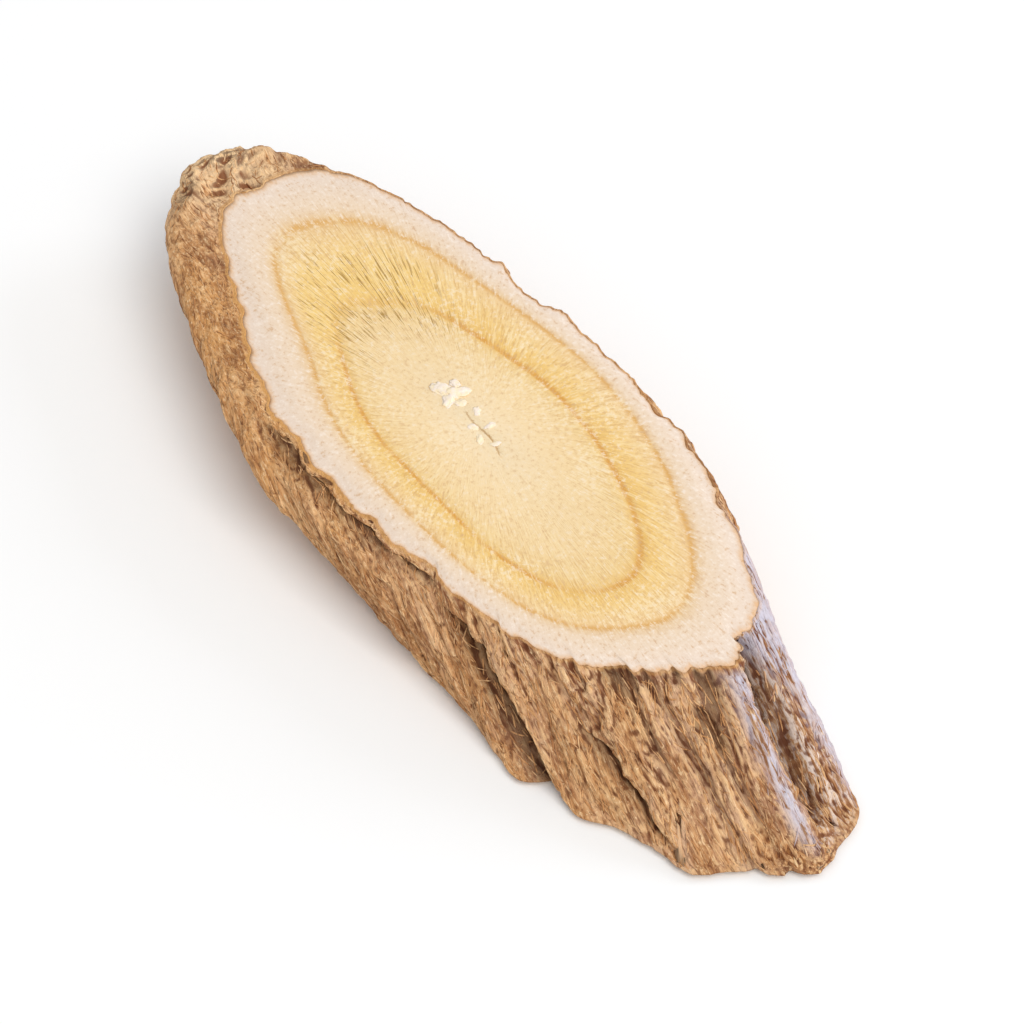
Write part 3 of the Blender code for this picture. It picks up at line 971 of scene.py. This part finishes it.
def made_of_crumbs(name, crumbs):
    """Small ragged lumps, flattened and half sunk in the cut face."""
    bpy.ops.mesh.primitive_ico_sphere_add(subdivisions=4, radius=1.0)
    ball = bpy.context.object
    round_places = np.array([vertex.co for vertex in ball.data.vertices])
    corners = np.array([face.vertices[:] for face in ball.data.polygons])
    bpy.data.objects.remove(ball)
    points, faces = [], []
    for number, (x, y, size, turn) in enumerate(crumbs):
        lumps = 1.0 + 0.45 * grain(round_places * 1.4 + number * 9.0)
        lumps = lumps + 0.22 * grain(round_places * 4.0 + number)
        places = round_places * lumps[:, None] * CRUMB_PROPORTIONS * size * MM
        spin = math.radians(turn)
        turned = np.array(((math.cos(spin), -math.sin(spin)), (math.sin(spin), math.cos(spin))))
        flat = places[:, :2] @ turned.T + UPPER_CENTRE + np.array((x, y)) * MM
        points.append(np.column_stack((flat, places[:, 2] + THICKNESS + CRUMB_LIFT)))
        faces.extend((corners + number * len(round_places)).tolist())
    return made_of_faces(name, np.vstack(points), faces)


def pith_material():
    """Pale torn pith with a fine grain."""
    material, shader = start_material("torn_pith", 0.8)
    specks = mottle(place_in_piece(), 3.0, 0.6, 0.0, 3000.0)
    colour = blend(specks.between(0.40, 0.6), CORE_PALE, BAST_PALE)
    finish_surface(shader, colour, specks, 0.5, 0.12 * MM)
    return material


dress(made_of_crumbs("pith_crumbs", PITH_CRUMBS), pith_material())

# The table, the light and the camera: a plain pale table under soft light from all round. The
# camera looks down on the slice from the side of its toe, as the photograph does.
VIEW_AZIMUTH = 56.7
VIEW_ELEVATION = 46.0
LENS = 240.0
VIEW_DISTANCE = 373.4 * MM
LOOK_AT = Vector((-1.21 * MM, 1.94 * MM, 0.0))
TABLE_SIZE = 4.0
TABLE_WHITE = screen(252, 252, 252)
ROOM_LIGHT = 0.58
# A lamp: its name, size, power, colour, azimuth, elevation and distance.
LAMPS = (
    ("key_lamp", 1.2, 15.2, (1.0, 0.985, 0.96), 92.0, 52.0, 1.6),
    ("rim_lamp", 0.30, 1.4, (0.78, 0.87, 1.0), 165.0, 20.0, 0.7),
)

bpy.ops.mesh.primitive_plane_add(size=TABLE_SIZE)
table = bpy.context.object
table.name = "table"
table_material, table_shader = start_material("pale_table", 0.9)
table_shader.inputs["Base Color"].default_value = TABLE_WHITE
table_shader.inputs["Specular IOR Level"].default_value = 0.0
table.data.materials.append(table_material)


def towards(azimuth, elevation):
    """The direction from the slice to something seen at an azimuth and elevation."""
    turn, tilt = math.radians(azimuth), math.radians(elevation)
    flat = math.cos(tilt)
    return Vector((math.sin(turn) * flat, -math.cos(turn) * flat, math.sin(tilt)))


def add_aimed(name, data, at, way, distance):
    """A lamp or camera, placed at a distance and pointed back at its place."""
    holder = bpy.data.objects.new(name, data)
    bpy.context.scene.collection.objects.link(holder)
    holder.location = at + way * distance
    holder.rotation_euler = way.to_track_quat("Z", "Y").to_euler()
    return holder


for lamp_name, size, power, lamp_colour, azimuth, elevation, distance in LAMPS:
    lamp = bpy.data.lights.new(lamp_name, "AREA")
    lamp.size = size
    lamp.energy = power
    lamp.color = lamp_colour
    add_aimed(lamp_name, lamp, Vector(), towards(azimuth, elevation), distance)

world = bpy.data.worlds.new("soft_room")
world.use_nodes = True
world.node_tree.nodes["Background"].inputs["Color"].default_value = (1.0, 1.0, 1.0, 1.0)
world.node_tree.nodes["Background"].inputs["Strength"].default_value = ROOM_LIGHT
bpy.context.scene.world = world
bpy.context.scene.view_settings.view_transform = "Standard"

lens = bpy.data.cameras.new("camera")
lens.lens = LENS
lens.clip_start = 0.01
view = towards(VIEW_AZIMUTH, VIEW_ELEVATION)
bpy.context.scene.camera = add_aimed("camera", lens, LOOK_AT, view, VIEW_DISTANCE)
